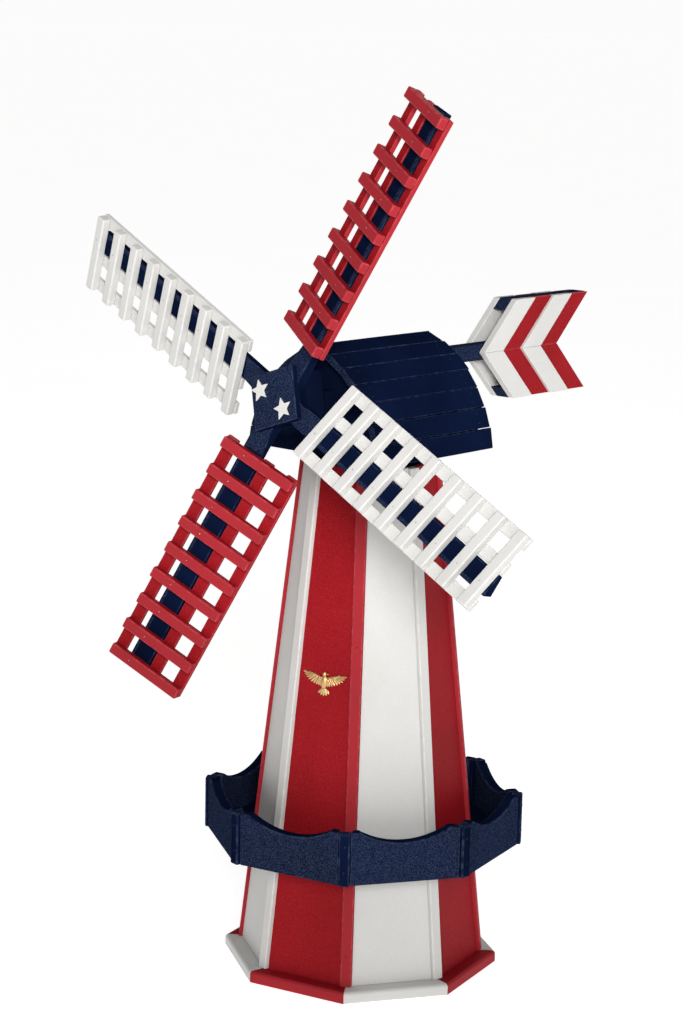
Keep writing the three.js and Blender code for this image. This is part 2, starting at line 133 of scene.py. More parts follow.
WHEEL_TURN = math.radians(25.2)     # of blade 1 at rest, from straight up
SPAR_RAMP = (45, 96)            # where a spar's bevel begins, and where it has its full depth
SPAR_W = 36
SPAR_T = 19
SPAR_END = 526
PLATE_SIDE = 89
PLATE_PROUD = 0.6               # the hub plate's front face before the blades' front plane
PLATE_BACK = 12.1               # its back face behind that plane
STAR_POINTS = 5
STAR_R = 18.5
STAR_WAIST = 0.47               # share of the radius between two points
STAR_T = 3
STARS = ((-25, 18, 4), (18.5, -22, 6))      # (x, z, turn in degrees) on the hub plate

# Rings of a screw head: share of its radius, height, and how far a cross's arm and waist reach.
SCREW_HEAD = (
    (1.0, -0.25, 1, 1), (1.0, 0.15, 1, 1), (0.82, 0.5, 1, 1), (0.45, 0.62, 1, 1),
    (0.28, 0.1, 1.35, 0.55),
)
SCREW_SIDES = 16
SCREW_TURN = 1.5                # a head's greatest turn either way, in radians
LATHE_SIDES = 64
LATHE_EDGE = 0.6                # a turned body's rounded edges

SHARP = math.radians(30)        # an edge that turns more than this is rounded
BROAD = math.cos(math.radians(15))      # a face this close to a board's flat direction isn't sawn
ALONG_Y = (0, 1, 0)
UP = (0, 0, 1)

# ------------------------------------------------------------ camera and light, in metres
CAMERA_SPOT = (1.9438, -3.5883, 1.5843)
CAMERA_HEADING = math.radians(29.1)
CAMERA_PITCH = math.radians(90 - 11.17)
CAMERA_ROLL = math.radians(1.18)
CAMERA_LENS = 87.35             # millimetres, on a sensor of 36
CAMERA_SENSOR = 36

# Name, place, size and watts of each lamp.
LAMPS = (("key", (2.4, -3.7, 2.3), 1.4, 12.5), ("rim", (-0.4, 3.2, 2.8), 2.5, 2))
LAMP_TARGET = Vector((0, 0, 1.3))
LAMP_SPREAD = math.radians(42)
SKY_SIDE = Vector((0.42, -0.56, 0.72))      # where the sky is brightest
SKY_FALL = (-0.3, 1.0)          # cosines from that side between which it brightens
SKY_STRENGTH = (0.06, 0.36)
HORIZON_STRENGTH = 0.97         # of the pale horizon
HORIZON_FADE = (0.02, 0.12)     # heights between which it gives way to the sky
FLOOR_RADIUS = 600
FLOOR_SIDES = 96
FLOOR_GLOW = 0.75


def mm_box(node):
    """The lowest and highest corner of a CAD node, in millimetres."""
    low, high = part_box(node)
    return low / MM, high / MM


def joint(name):
    """A joint's position in millimetres, and its axis."""
    found = next(j for j in frame["joints"] if j["name"] == name)
    return Vector(found["pos_m"]) / MM, Vector(found["axis"]).normalized()


WALL_LOW, WALL_TOP = (corner.z for corner in mm_box("wall_panel_1"))
PLANTER_LOW, PLANTER_TOP = (corner.z for corner in mm_box("planter_board_1"))
HEAD_BASE = mm_box("head_floor")[0].z
VANE_MID = sum(corner.z for corner in mm_box("tail_boom")) / 2

HUB, SPIN = joint("wheel_spin")
HEADING = math.atan2(SPIN.x, -SPIN.y)
TILT = math.asin(SPIN.z)
TOWER = Matrix.Identity(4)
HEAD = Matrix.Rotation(HEADING, 4, "Z")
WHEEL = Matrix.Translation(HUB) @ HEAD @ Matrix.Rotation(-TILT, 4, "X")


def wobble(amount):
    """A random number up to amount either way."""
    return random.uniform(-amount, amount)


# ------------------------------------------------------------ materials
def add_node(tree, kind, inputs, **settings):
    """A new node with its settings, its inputs joined to sockets or set to values."""
    node = tree.nodes.new(kind)
    for key, value in settings.items():
        setattr(node, key, value)
    for key, value in inputs.items():
        if isinstance(value, bpy.types.NodeSocket):
            tree.links.new(value, node.inputs[key])
        else:
            node.inputs[key].default_value = value
    return node


class Graph:
    """A material's node tree, with short calls for making and joining nodes."""

    def __init__(self, name):
        self.material = bpy.data.materials.new(name)
        self.material.use_nodes = True
        self.tree = self.material.node_tree
        self.tree.nodes.clear()
        self.coord = self.add("ShaderNodeTexCoord", {}).outputs["Object"]

    def add(self, kind, inputs, **settings):
        return add_node(self.tree, kind, inputs, **settings)

    def noise(self, scale, detail, stretch=None):
        vector = self.coord
        if stretch:
            mapping = self.add("ShaderNodeMapping", {"Vector": self.coord, "Scale": stretch})
            vector = mapping.outputs["Vector"]
        inputs = {"Vector": vector, "Scale": scale, "Detail": detail}
        return self.add("ShaderNodeTexNoise", inputs).outputs["Fac"]

    def remap(self, value, low, high, out_low=0.0, out_high=1.0):
        inputs = {
            "Value": value, "From Min": low, "From Max": high,
            "To Min": out_low, "To Max": out_high,
        }
        return self.add("ShaderNodeMapRange", inputs).outputs["Result"]

    def math(self, operation, a, b):
        return self.add("ShaderNodeMath", {0: a, 1: b}, operation=operation).outputs["Value"]

    def mix(self, factor, a, b):
        """A colour between a and b. Inputs 6 and 7 and output 2 are a mix node's colours."""
        inputs = {0: factor, 6: a, 7: b}
        return self.add("ShaderNodeMix", inputs, data_type="RGBA").outputs[2]

    def layer(self, name):
        """A number that board() keeps for each face: sawn or edge."""
        return self.add("ShaderNodeAttribute", {}, attribute_name=name).outputs["Fac"]

    def bump(self, height, distance, strength=1.0, normal=None):
        inputs = {"Height": height, "Distance": distance, "Strength": strength}
        if normal:
            inputs["Normal"] = normal
        return self.add("ShaderNodeBump", inputs).outputs["Normal"]

    def finish(self, colour, flat, **inputs):
        """Joins the surface shader. flat is the plain colour that stands for the pattern."""
        named = {key.replace("_", " "): value for key, value in inputs.items()}
        shader = self.add("ShaderNodeBsdfPrincipled", named)
        shader.inputs["Base Color"].default_value = flat
        self.tree.links.new(colour, shader.inputs["Base Color"])
        self.add("ShaderNodeOutputMaterial", {"Surface": shader.outputs["BSDF"]})
        return self.material


def srgb(red, green, blue):
    """A linear colour with alpha from 0-255 screen values."""
    def channel(value):
        value /= 255
        return value / 12.92 if value <= 0.04045 else ((value + 0.055) / 1.055) ** 2.4
    return (channel(red), channel(green), channel(blue), 1.0)


def plastic_board(name, base, dark, fleck, fleck_share, painted_sawn_sheen, peel, roughness, sheen):
    """Coloured solid plastic: embossed, flecked sheet faces, smooth sawn faces and rounded edges
    with a painted highlight.

    Scales are per metre. painted_sawn_sheen is how far a sawn face pales towards the fleck colour,
    a painted sheen, and peel is the depth of the emboss in metres.
    """
    g = Graph(name)
    sawn = g.layer("sawn")
    edge = g.layer("edge")
    embossed = g.math("SUBTRACT", 1.0, sawn)
    cloud = g.noise(6.5, 4.0)
    grain = g.noise(430.0, 2.0)
    specks = g.noise(900.0, 1.0)
    streak = g.noise(55.0, 3.0, stretch=(1.0, 1.0, 0.12))

    shaded = g.mix(g.remap(cloud, 0.35, 0.7), base, dark)
    shaded = g.mix(g.remap(streak, 0.45, 0.75, 0.0, 0.25), shaded, dark)
    # Sawn faces pale towards the fleck colour: a painted sheen.
    shaded = g.mix(g.math("MULTIPLY", sawn, painted_sawn_sheen), shaded, fleck)
    speck_mask = g.math("MULTIPLY", g.remap(specks, 0.48, 0.64, 0.0, fleck_share), embossed)
    flecked = g.mix(speck_mask, shaded, fleck)
    # Rounded edges pale in patches towards the fleck colour: a painted highlight.
    edge_highlight = g.remap(g.noise(90.0, 3.0), 0.4, 0.65, 0.05, 0.4)
    colour = g.mix(g.math("MULTIPLY", edge, edge_highlight), flecked, fleck)

    rough = g.remap(grain, 0.3, 0.7, roughness - 0.07, roughness + 0.1)
    rough = g.math("SUBTRACT", rough, g.math("MULTIPLY", edge, 0.1))
    emboss = g.math("MULTIPLY", grain, g.remap(embossed, 0.0, 1.0, 0.15, 1.0))
    normal = g.bump(emboss, peel)
    normal = g.bump(g.noise(28.0, 2.0), 0.0006, 0.35, normal)
    return g.finish(colour, base, Roughness=rough, Normal=normal, Specular_IOR_Level=sheen)


def metal(name, base, dark, roughness, brushed):
    """Bare or plated metal with fine scratches, drawn out along a small brushed scale."""
    g = Graph(name)
    cloud = g.noise(45.0, 4.0)
    scratch = g.noise(900.0, 2.0, stretch=brushed)
    colour = g.mix(g.remap(cloud, 0.35, 0.7), base, dark)
    rough = g.remap(scratch, 0.3, 0.7, roughness - 0.06, roughness + 0.12)
    normal = g.bump(scratch, 0.0002, 0.5)
    return g.finish(colour, base, Metallic=1.0, Roughness=rough, Normal=normal)


RED = plastic_board(
    "red_board", srgb(154, 18, 27), srgb(137, 13, 19), srgb(208, 88, 98),
    fleck_share=0.16, painted_sawn_sheen=0.2, peel=0.00055, roughness=0.5, sheen=0.05)
WHITE = plastic_board(
    "white_board", srgb(215, 214, 211), srgb(207, 205, 201), srgb(238, 238, 236),
    fleck_share=0.3, painted_sawn_sheen=0.0, peel=0.0003, roughness=0.48, sheen=0.15)
NAVY = plastic_board(
    "navy_board", srgb(14, 25, 54), srgb(9, 17, 39), srgb(74, 87, 114),
    fleck_share=0.55, painted_sawn_sheen=0.0, peel=0.0008, roughness=0.42, sheen=0.0)
# A smoother copy of the navy with fewer flecks, for the gables, the hub block, the floors and
# plates. Its darker colours are painted shade.
NAVY_SAWN_SHADED = plastic_board(
    "navy_sawn_shaded", srgb(11, 20, 45), srgb(8, 15, 34), srgb(30, 42, 72),
    fleck_share=0.2, painted_sawn_sheen=0.0, peel=0.0003, roughness=0.45, sheen=0.0)
STEEL = metal("steel", srgb(190, 192, 194), srgb(150, 152, 156), 0.34, (1.0, 1.0, 0.1))
GILT = metal("gilt", srgb(240, 212, 158), srgb(205, 162, 104), 0.42, (1.0, 1.0, 1.0))


# ------------------------------------------------------------ pieces
def weigh_normals(piece):
    """Keeps the broad faces flat in shading, so that only the rounded edges turn."""
    piece.modifiers.new("normals", "WEIGHTED_NORMAL").weight = 100


def settle(name, bm, finish, body, place, nodes):
    """Turns a bmesh drawn in millimetres into a shown piece that rides on its body."""
    mesh = bpy.data.meshes.new(name)
    bm.to_mesh(mesh)
    bm.free()
    mesh.transform(Matrix.Scale(MM, 4) @ place)
    mesh.shade_smooth()
    mesh.materials.append(finish)
    piece = bpy.data.objects.new(name, mesh)
    bpy.context.scene.collection.objects.link(piece)
    weigh_normals(piece)
    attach(piece, body)
    if nodes:
        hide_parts(*nodes)


def carry(node, finish, round_edge=1.0):
    """Gives a CAD node that keeps its shape a finish and rounded edges."""
    piece = frame["nodes"][node]
    piece.data.materials.clear()
    piece.data.materials.append(finish)
    for polygon in piece.data.polygons:
        polygon.use_smooth = True
    weld = piece.modifiers.new("weld", "WELD")
    weld.merge_threshold = 0.00001
    bevel = piece.modifiers.new("edges", "BEVEL")
    bevel.width = round_edge * MM
    bevel.segments = 3
    bevel.limit_method = "ANGLE"
    bevel.angle_limit = SHARP
    weigh_normals(piece)


def add_loft(bm, rings):
    """Adds a closed body through rings of points."""
    rows = [[bm.verts.new(point) for point in ring] for ring in rings]
    count = len(rings[0])
    faces = []
    for low, high in zip(rows, rows[1:]):
        for i in range(count):
            j = (i + 1) % count
            faces.append(bm.faces.new((low[i], low[j], high[j], high[i])))
    faces.append(bm.faces.new(list(reversed(rows[0]))))
    faces.append(bm.faces.new(rows[-1]))
    bmesh.ops.recalc_face_normals(bm, faces=faces)


def round_edges(bm, radius, segments):
    """Rounds the sharp edges. Returns the faces that this makes."""
    sharp = [edge for edge in bm.edges if edge.calc_face_angle(0) > SHARP]
    made = bmesh.ops.bevel(
        bm, geom=sharp, offset=radius, offset_type="OFFSET", segments=segments,
        profile=0.5, affect="EDGES", clamp_overlap=True,
    )
    return made["faces"]


def board(name, rings, finish, body, place, nodes, round_edge, flat=ALONG_Y, segments=3):
    """A board through rings of points, with rounded edges. Its broad faces look along flat."""
    bm = bmesh.new()
    sawn = bm.faces.layers.float.new("sawn")
    edge = bm.faces.layers.float.new("edge")
    add_loft(bm, rings)
    rounded = round_edges(bm, round_edge, segments)
    broad = Vector(flat)
    for face in bm.faces:
        face[sawn] = 0.0 if abs(face.normal.dot(broad)) > BROAD else 1.0
    for face in rounded:
        face[edge] = 1.0
    settle(name, bm, finish, body, place, nodes)


def box_rings(x, y, z):
    """Two rings for a box, from low to high z."""
    return [[(x[0], y[0], h), (x[1], y[0], h), (x[1], y[1], h), (x[0], y[1], h)] for h in z]


def lathe(name, profile, finish, body, nodes):
    """A turned body: profile is a closed loop of (radius, height) points round the Z axis."""
    bm = bmesh.new()
    rings = []
    for i in range(LATHE_SIDES):
        turn = 2 * math.pi * i / LATHE_SIDES
        ring = [(r * math.cos(turn), r * math.sin(turn), z) for r, z in profile]
        rings.append([bm.verts.new(point) for point in ring])
    count = len(profile)
    for i in range(LATHE_SIDES):
        here, there = rings[i], rings[(i + 1) % LATHE_SIDES]
        for j in range(count):
            k = (j + 1) % count
            bm.faces.new((here[j], there[j], there[k], here[k]))
    bmesh.ops.recalc_face_normals(bm, faces=bm.faces)
    round_edges(bm, LATHE_EDGE, 2)
    settle(name, bm, finish, body, TOWER, nodes)


def screws(name, spots, finish, body, place, radius):
    """Low round screw heads with a cross cut in each, at (point, outward direction) pairs."""
    bm = bmesh.new()
    for point, direction in spots:
        spin = Matrix.Rotation(wobble(SCREW_TURN), 3, "Z").to_quaternion()
        facing = Vector(direction).to_track_quat("Z", "Y") @ spin
        at = Matrix.Translation(point) @ facing.to_matrix().to_4x4()
        rings = []
        for share, height, arm, waist in SCREW_HEAD:
            ring = []
            for i in range(SCREW_SIDES):
                angle = 2 * math.pi * i / SCREW_SIDES
                r = share * radius * (arm if i % 4 == 0 else waist)
                ring.append(at @ Vector((r * math.cos(angle), r * math.sin(angle), height)))
            rings.append(ring)
        add_loft(bm, rings)
    settle(name, bm, finish, body, place, ())


# ------------------------------------------------------------ tower
def face_at(z):
    """Axis to a wall panel's outer face, at height z."""
    return TOWER_FOOT - TOWER_TAPER * z


def post_face_at(z):
    """Axis to a tower post's outer face, at height z."""
    return face_at(z) / math.cos(HALF) + POST_PROUD


def reach(r, back):
    """Half the width of a board at distance r, its ends cut back from the corner's plane."""
    return r * math.tan(HALF) - back / math.cos(HALF)


def side_board(profile, back):
    """Rings of a board on the front side, with the same (r, z) profile at both ends."""
    return [[(side * reach(r, back), -r, z) for r, z in profile] for side in (1, -1)]


def corner_post(profile):
    """Rings of a square post at a corner, its outer face at distance r for each (r, z)."""
    half = POST / 2 - SEAM / 2
    return [[(half, -r, z), (half, POST - r, z), (-half, POST - r, z), (-half, -r, z)]
            for r, z in profile]


def turned(side, corner=False):
    """From the front side to another side, or to the corner at its right end."""
    return Matrix.Rotation(side * STEP + (HALF if corner else 0), 4, "Z")


def side_finish(side):
    return RED if side % 2 == 0 else WHITE


def rail_profile(top):
    """A base rail's section, as (r, z) points."""
    points = [(RAIL_OUT - RAIL_W, 0), (RAIL_OUT - RAIL_CHAMFER, 0), (RAIL_OUT, RAIL_CHAMFER)]
    for i in range(RAIL_ROUND_STEPS + 1):
        turn = (i / RAIL_ROUND_STEPS) * math.pi / 2
        r = RAIL_OUT - RAIL_ROUND + RAIL_ROUND * math.cos(turn)
        points.append((r, top - RAIL_ROUND + RAIL_ROUND * math.sin(turn)))
    points.append((RAIL_OUT - RAIL_W, top))
    return points


def build_tower():
    foot, top = face_at(WALL_LOW), face_at(WALL_TOP)
    wall = [(foot - WALL_T, WALL_LOW), (foot, WALL_LOW), (top, WALL_TOP), (top - WALL_T, WALL_TOP)]
    panel = side_board(wall, POST / 2 + SEAM / 2)
    post = corner_post([(post_face_at(z), z) for z in (WALL_LOW, WALL_TOP)])
    rail_top = mm_box("base_rail_1")[1].z
    rail = side_board(rail_profile(rail_top), SEAM / 2)
    for side in range(SIDES):
        number = side + 1
        node = f"wall_panel_{number}"
        finish = side_finish(side)
        board(f"panel_board_{number}", panel, finish, "tower",
              turned(side), [node], round_edge=1.0)
        board(f"corner_strip_{number}", post, finish, "tower",
              turned(side, corner=True), [node], round_edge=2.2, flat=UP)
        board(f"foot_rail_{number}", rail, finish, "tower",
              turned(side), [f"base_rail_{number}"], round_edge=0.7, flat=UP)
    build_tower_screws(rail_top)
    carry("bottom_former", NAVY_SAWN_SHADED)
    carry("top_plate", NAVY_SAWN_SHADED)
    build_turntable()


def build_tower_screws(rail_top):
    """Screws in the posts and the base rails, each in the colour of its side."""
    for finish, label in ((RED, "red"), (WHITE, "white")):
        spots = []
        for side in range(SIDES):
            if side_finish(side) is not finish:
                continue
            place = turned(side, corner=True)
            for share in POST_SCREWS:
                z = WALL_LOW + share * (WALL_TOP - WALL_LOW)
                at = Vector((wobble(1.5), -post_face_at(z) - SEAT, z))
                spots.append((place @ at, place @ Vector((0, -1, TOWER_TAPER))))
            place = turned(side)
            for x in (-RAIL_SCREW_X, RAIL_SCREW_X):
                at = Vector((x + wobble(3), -(RAIL_OUT - RAIL_SCREW_IN), rail_top + SEAT))
                spots.append((place @ at, UP))
        screws(f"tower_screws_{label}", spots, finish, "tower", TOWER, radius=1.5)


def build_turntable():
    """Two rings, with a race in the faces that meet: on the tower, and under the head."""
    for node, body, into in (("turntable_lower", "tower", -1), ("turntable_upper", "head", 1)):
        low, high = mm_box(node)
        outer = (high.x - low.x) / 2
        inner = outer * RING_INNER / RING_OUTER
        far, near = (low.z, high.z) if body == "tower" else (high.z, low.z)
        race = [(outer - inward, near + into * depth) for inward, depth in RING_RACE]
        profile = [(inner, far), (outer, far), (outer, near), *race, (inner, near)]
        lathe(f"{node}_ring", profile, STEEL, body, [node])


# ------------------------------------------------------------ planter
def scallop_outline(half, low, top):
    """A planter board's outline, with a round dip in its top edge, as (x, z) points."""
    radius = (SCALLOP_HALF ** 2 + SCALLOP_DEEP ** 2) / (2 * SCALLOP_DEEP)
    sweep = math.asin(SCALLOP_HALF / radius)
    centre = top - SCALLOP_DEEP + radius
    dip = []
    for i in range(SCALLOP_STEPS + 1):
        turn = sweep * (1 - 2 * i / SCALLOP_STEPS)
        dip.append((radius * math.sin(turn), centre - radius * math.cos(turn)))
    return [(-half, low), (half, low), (half, top), *dip, (-half, top)]


def build_planter():
    low, top = PLANTER_LOW, PLANTER_TOP
    rings = []
    for r in (PLANTER_OUT, PLANTER_OUT - PLANTER_BOARD_T):
        outline = scallop_outline(reach(r, POST / 2 + SEAM / 2), low, top)
        rings.append([(x, -r, z) for x, z in outline])
    post_face = PLANTER_OUT / math.cos(HALF) + PLANTER_POST_PROUD
    post = corner_post([(post_face, low), (post_face, top)])
    spots = []
    for side in range(SIDES):
        number = side + 1
        node = f"planter_board_{number}"
        board(f"scalloped_board_{number}", rings, NAVY, "tower",
              turned(side), [node], round_edge=2.4)
        place = turned(side, corner=True)
        board(f"planter_post_{number}", post, NAVY, "tower",
              place, [node], round_edge=3.0, flat=UP)
        for share in PLANTER_SCREWS:
            at = Vector((wobble(1.2), -post_face - SEAT, low + share * (top - low)))
            spots.append((place @ at, place @ Vector((0, -1, 0))))
    screws("planter_screws", spots, NAVY, "tower", TOWER, radius=1.8)
    carry("planter_floor", NAVY_SAWN_SHADED, 0.8)


# ------------------------------------------------------------ bird
def add_feather(bm, root, angle, length, width, height):
    """A flat tapered leaf with a raised spine, lying in the XY plane and pointing along angle."""
    across_way = Vector((-math.sin(angle), math.cos(angle), 0))
    rings = []
    for i in range(FEATHER_STEPS + 1):
        share = i / FEATHER_STEPS
        # It widens from its root and closes in a round tip, which max() keeps from being a point.
        half = width / 2 * (0.35 + 1.1 * share) * math.sqrt(max(0.02, 1 - share ** 3))
        rise = height * (1 - 0.55 * share)
        x = root[0] + math.cos(angle) * length * share
        y = root[1] + math.sin(angle) * length * share
        rings.append([Vector((x, y, rise * up)) + across_way * half * across
                      for across, up in FEATHER_SECTION])
    add_loft(bm, rings)


def add_egg(bm, centre, size):
    """Half an egg, rounded towards +Z."""
    rings = []
    for i in range(EGG_RINGS):
        lift = math.pi / 2 * i / EGG_CLOSED
        ring = []
        for j in range(EGG_SIDES):
            angle = 2 * math.pi * j / EGG_SIDES
            x = size[0] * math.cos(angle) * math.cos(lift)
            y = size[1] * math.sin(angle) * math.cos(lift)
            ring.append((centre[0] + x, centre[1] + y, size[2] * math.sin(lift)))
        rings.append(ring)
    add_loft(bm, rings)


def wing_angle(side, degrees):
    """A direction measured from +X on the right wing, and mirrored on the left one."""
    angle = math.radians(degrees)
    return angle if side > 0 else math.pi - angle


def add_wing(bm, side):
    """One wing: its long feathers, the shorter ones over them and its leading edge."""
    for i in range(BIRD_FLIGHTS):
        share = i / (BIRD_FLIGHTS - 1)
        root = (side * (5 + 20 * share), 9 + 5.5 * share)
        angle = wing_angle(side, -84 + 92 * share ** 1.3)
        add_feather(bm, root, angle, 13 + 3 * share, width=4.6, height=2.2 + 0.7 * (i % 2))
    for i in range(BIRD_COVERTS):
        share = i / (BIRD_COVERTS - 1)
        root = (side * (4 + 18 * share), 11 + 4.5 * share)
        angle = wing_angle(side, -70 + 80 * share)
        add_feather(bm, root, angle, 8, width=4.4, height=3.6)
    add_feather(bm, (side * 3, 10), wing_angle(side, 14), 24, width=4.6, height=4.2)


def build_bird():
    """A plain spread-winged bird, cast in relief: wings, tail, body, head and beak."""
    bm = bmesh.new()
    for side in (-1, 1):
        add_wing(bm, side)
    for i in range(BIRD_TAIL):
        angle = math.radians(-90 + 22 * (i - BIRD_TAIL // 2))
        add_feather(bm, (0, -5), angle, 15, width=5.2, height=2.2 + 0.5 * (i % 2))
    add_egg(bm, (0, 3), (6.2, 12.5, 4.8))
    add_egg(bm, (0, 16.5), (3.8, 4.6, 4.4))
    add_feather(bm, (2, 17.5), math.radians(-12), 5.6, width=2.2, height=3.2)
    slope = Matrix.Rotation(math.pi / 2 - math.atan(TOWER_TAPER), 4, "X")
    place = Matrix.Translation((0, -face_at(BIRD_Z) - SEAM, BIRD_Z)) @ slope
    settle("bird_relief", bm, GILT, "tower", place, ["bird_ornament"])


# ------------------------------------------------------------ head
def arch_points(inset):
    """One side of the pointed arch at its slats' joints, from eave to ridge, as (x, z)."""
    radius = ROOF_R - inset
    start = math.asin((HEAD_BASE - ROOF_CENTRE_Z) / radius)
    end = math.acos(ROOF_OFF / radius)
    points = []
    for i in range(ROOF_SLATS + 1):
        turn = start + (end - start) * i / ROOF_SLATS
        x = radius * math.cos(turn) - ROOF_OFF
        points.append(Vector((x, ROOF_CENTRE_Z + radius * math.sin(turn))))
    return points


def slat_rings(section, side):
    """A roof slat from front to back, with uneven ends and a slight bow."""
    front = -HEAD_HALF + random.uniform(0, 0.8)
    back = HEAD_HALF - random.uniform(0, 4.5)
    bow = wobble(0.5)
    rings = []
    for share in SLAT_STATIONS:
        y = front + (back - front) * share
        lift = bow * math.sin(math.pi * share) - SLAT_SINK
        rings.append([(side * point.x, y, point.y + lift) for point in section])
    return rings


def build_roof():
    outer = arch_points(0)
    inner = arch_points(ROOF_T)
    gable_y = HEAD_HALF - GABLE_INSET - GABLE_T / 2
    nails = []
    for side, label in ((1, "right"), (-1, "left")):
        for i in range(ROOF_SLATS):
            chord = (outer[i + 1] - outer[i]).normalized() * ROOF_GAP / 2
            low_gap = chord if i else chord * 0     # the lowest slat reaches down to the eave
            section = [
                outer[i] + low_gap, outer[i + 1] - chord,
                inner[i + 1] - chord, inner[i] + low_gap,
            ]
            board(f"roof_slat_{label}_{i + 1}", slat_rings(section, side), NAVY, "head",
                  HEAD, [f"roof_{label}"], round_edge=1.0)
            inward = Vector((chord.y * side, 0, -chord.x))
            middle = (outer[i] + outer[i + 1]) / 2
            for y in (-gable_y, gable_y):
                for along in (-ROOF_NAIL, ROOF_NAIL):
                    spot = middle + chord.normalized() * along
                    at = Vector((side * spot.x, y + wobble(1.5), spot.y))
                    nails.append((at, -inward))
    screws("roof_nails", nails, NAVY, "head", HEAD, radius=1.3)


def build_head():
    build_roof()
    # The gables, head floor and axle blocks take the darker navy: painted shade under the roof.
    for node in ("front_gable", "rear_gable", "head_floor", "axle_block_front", "axle_block_rear"):
        carry(node, NAVY_SAWN_SHADED, 1.5)
    carry("tail_boom", NAVY, 1.5)


# ------------------------------------------------------------ tail
def build_tail():
    """Chevrons of two mitred boards each, on both sides of the boom."""
    nails = {WHITE: [], RED: []}
    depth = VANE_STEP - SEAM
    inside = BOOM_W / 2 + GAP
    for i in range(VANES):
        finish = WHITE if i % 2 == 0 else RED
        lead = VANE_START + i * VANE_STEP
        outside = inside + VANE_T[i % 2]
        for side, label in ((1, "right"), (-1, "left")):
            for up, part in ((1, "upper"), (-1, "lower")):
                tip = VANE_HALF - random.uniform(0, 0.8)
                outline = [(0, SEAM / 2), (depth, SEAM / 2), (depth + tip, tip), (tip, tip)]
                rings = []
                for x in (inside, outside):
                    rings.append([(side * x, lead + y, VANE_MID + up * z) for y, z in outline])
                board(f"chevron_{label}_{i + 1}_{part}", rings, finish, "head",
                      HEAD, [f"chevron_{label}_{i + 1}"], round_edge=1.1, flat=(1, 0, 0))
                for z in (VANE_NAILS[0], tip - VANE_NAILS[1]):
                    y = depth * 0.5 + z + wobble(2)
                    at = Vector((side * (outside + SEAT), lead + y, VANE_MID + up * z))
                    nails[finish].append((at, (side, 0, 0)))
    screws("tail_nails_white", nails[WHITE], WHITE, "head", HEAD, radius=1.4)
    screws("tail_nails_red", nails[RED], RED, "head", HEAD, radius=1.4)
    carry("tail_spacer_top", NAVY)
    carry("tail_spacer_bottom", NAVY)


# ------------------------------------------------------------ wheel
def build_blade(number, place):
    """A lattice of cross slats in front of long slats, and the nails into its spar."""
    finish = RED if number % 2 == 1 else WHITE
    node = f"lattice_{number}"
    pitched = place @ Matrix.Rotation(-BLADE_PITCH, 4, "Z")
    nails = []
    for i in range(CROSS_SLATS):
        z = BLADE_START + i * CROSS_SLAT_STEP
        x_span = (BLADE_LEFT + random.uniform(0, 1.2), BLADE_RIGHT - random.uniform(0, 1.2))
        z_span = (z + random.uniform(0, 0.5), z + CROSS_SLAT_W - random.uniform(0, 0.5))
        board(f"blade_{number}_cross_slat_{i + 1}",
              box_rings(x_span, (0, CROSS_SLAT_T), z_span), finish, "wheel",
              pitched, [node], round_edge=2.4, flat=UP, segments=4)
        at = Vector((wobble(3), -SEAT, z + CROSS_SLAT_W / 2 + wobble(1)))
        nails.append((at, (0, -1, 0)))
    end = BLADE_START + (CROSS_SLATS - 1) * CROSS_SLAT_STEP + CROSS_SLAT_W
    y_span = (CROSS_SLAT_T + SEAM / 2, CROSS_SLAT_T + LONG_SLAT_T)
    for i, x in enumerate(LONG_SLATS):
        z_span = (BLADE_START - random.uniform(-0.4, 0.6), end + random.uniform(-0.6, 0.6))
        board(f"blade_{number}_long_slat_{i + 1}",
              box_rings((x, x + LONG_SLAT_W), y_span, z_span), finish, "wheel",
              pitched, [node], round_edge=1.4)
    screws(f"blade_{number}_nails", nails, STEEL, "wheel", pitched, radius=1.0)


def build_spar(number, place):
    """A straight board, the left of its front bevelled to the blade's pitch."""
    half = SPAR_W / 2
    front = PLATE_BACK + GAP
    back = PLATE_BACK + GAP + SPAR_T
    crease = (CROSS_SLAT_T + GAP) / math.sin(BLADE_PITCH) - front / math.tan(BLADE_PITCH)
    deepest = front + (crease + half) * math.tan(BLADE_PITCH)
    stations = (
        (half + GAP, front), (SPAR_RAMP[0], front), (SPAR_RAMP[1], deepest), (SPAR_END, deepest),
    )
    rings = []
    for z, left in stations:
        rings.append([
            (crease, front, z), (half, front, z), (half, back, z), (-half, back, z),
            (-half, left, z),
        ])
    board(f"spar_board_{number}", rings, NAVY, "wheel", place, [f"spar_{number}"], round_edge=1.2)


def star_rings():
    """A star standing out from the XZ plane towards -Y."""
    outline = []
    for i in range(2 * STAR_POINTS):
        angle = math.pi / 2 + i * math.pi / STAR_POINTS
        r = STAR_R if i % 2 == 0 else STAR_R * STAR_WAIST
        outline.append((r * math.cos(angle), r * math.sin(angle)))
    return [[(x, y, z) for x, z in outline] for y in (0, -STAR_T)]


def build_wheel():
    for i in range(BLADES):
        place = WHEEL @ Matrix.Rotation(WHEEL_TURN + i * 2 * math.pi / BLADES, 4, "Y")
        build_blade(i + 1, place)
        build_spar(i + 1, place)
    carry("hub_block", NAVY_SAWN_SHADED, 1.6)
    carry("wheel_axle", STEEL, 0.5)
    carry("axle_spacer", STEEL, 0.5)
    plate = WHEEL @ Matrix.Rotation(WHEEL_TURN - math.pi / 4, 4, "Y")
    half = PLATE_SIDE / 2
    rings = box_rings((-half, half), (-PLATE_PROUD, PLATE_BACK), (-half, half))
    board("hub_plate_board", rings, NAVY, "wheel", plate, ["hub_front_plate"], round_edge=1.5)
    for i, (x, z, degrees) in enumerate(STARS):
        spot = Matrix.Translation((x, -PLATE_PROUD - SEAM, z))
        place = plate @ spot @ Matrix.Rotation(-math.radians(degrees), 4, "Y")
        board(f"star_{i + 1}", star_rings(), WHITE, "wheel", place, (), round_edge=0.8)


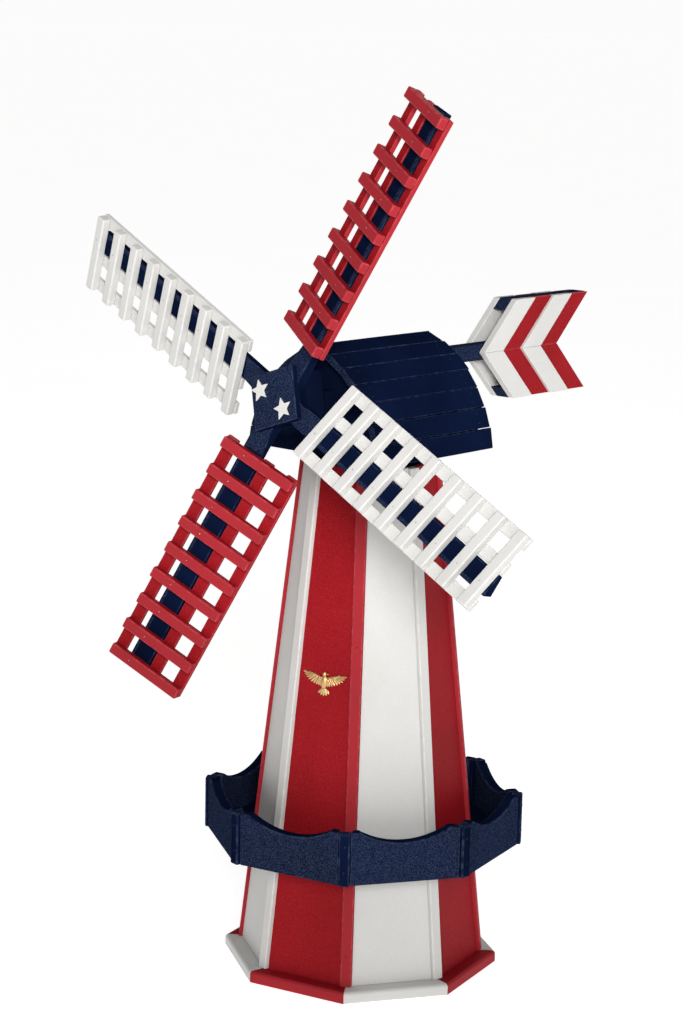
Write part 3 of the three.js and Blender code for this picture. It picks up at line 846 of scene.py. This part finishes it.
# ------------------------------------------------------------ stage
def build_floor():
    bm = bmesh.new()
    bmesh.ops.create_circle(bm, cap_ends=True, segments=FLOOR_SIDES, radius=FLOOR_RADIUS)
    mesh = bpy.data.meshes.new("floor")
    bm.to_mesh(mesh)
    bm.free()
    floor = bpy.data.objects.new("floor", mesh)
    g = Graph("floor")
    pale, dull = (0.9, 0.9, 0.89, 1), (0.87, 0.87, 0.86, 1)
    colour = g.mix(g.remap(g.noise(1.2, 3.0), 0.3, 0.7), pale, dull)
    mesh.materials.append(g.finish(
        colour, (0.89, 0.89, 0.88, 1), Roughness=0.9, Specular_IOR_Level=0.1,
        Emission_Color=(1, 1, 1, 1), Emission_Strength=FLOOR_GLOW,
    ))
    bpy.context.scene.collection.objects.link(floor)


def build_world():
    """A wide soft light from the front, right and above, and a horizon as pale as the floor."""
    world = bpy.data.worlds.new("studio")
    world.use_nodes = True
    tree = world.node_tree
    direction = add_node(tree, "ShaderNodeTexCoord", {}).outputs["Generated"]
    facing = add_node(
        tree, "ShaderNodeVectorMath", {0: direction, 1: SKY_SIDE.normalized()},
        operation="DOT_PRODUCT")
    sky = add_node(
        tree, "ShaderNodeMapRange", {
            "Value": facing.outputs["Value"], "From Min": SKY_FALL[0], "From Max": SKY_FALL[1],
            "To Min": SKY_STRENGTH[0], "To Max": SKY_STRENGTH[1],
        }, interpolation_type="SMOOTHSTEP")
    height = add_node(tree, "ShaderNodeSeparateXYZ", {"Vector": direction}).outputs["Z"]
    above = add_node(tree, "ShaderNodeMapRange", {
        "Value": height, "From Min": HORIZON_FADE[0], "From Max": HORIZON_FADE[1],
    })
    strength = add_node(tree, "ShaderNodeMix", {
        0: above.outputs["Result"], 2: HORIZON_STRENGTH, 3: sky.outputs["Result"],
    })
    background = tree.nodes["Background"]
    background.inputs["Color"].default_value = (1, 1, 1, 1)
    tree.links.new(strength.outputs[0], background.inputs["Strength"])
    bpy.context.scene.world = world
    bpy.context.scene.view_settings.view_transform = "Standard"


def build_lamps():
    for name, spot, size, power in LAMPS:
        light = bpy.data.lights.new(name, "AREA")
        light.shape = "DISK"
        light.size = size
        light.energy = power
        light.spread = LAMP_SPREAD
        lamp = bpy.data.objects.new(name, light)
        lamp.location = spot
        lamp.rotation_euler = (LAMP_TARGET - lamp.location).to_track_quat("-Z", "Y").to_euler()
        bpy.context.scene.collection.objects.link(lamp)


def build_camera():
    data = bpy.data.cameras.new("camera")
    data.sensor_width = CAMERA_SENSOR
    data.lens = CAMERA_LENS
    camera = bpy.data.objects.new("camera", data)
    heading = Matrix.Rotation(CAMERA_HEADING, 4, "Z")
    pitch = Matrix.Rotation(CAMERA_PITCH, 4, "X")
    roll = Matrix.Rotation(CAMERA_ROLL, 4, "Z")
    camera.matrix_world = Matrix.Translation(CAMERA_SPOT) @ heading @ pitch @ roll
    bpy.context.scene.collection.objects.link(camera)
    bpy.context.scene.camera = camera


build_camera()
build_tower()
build_bird()
build_planter()
build_head()
build_tail()
build_wheel()
build_floor()
build_world()
build_lamps()
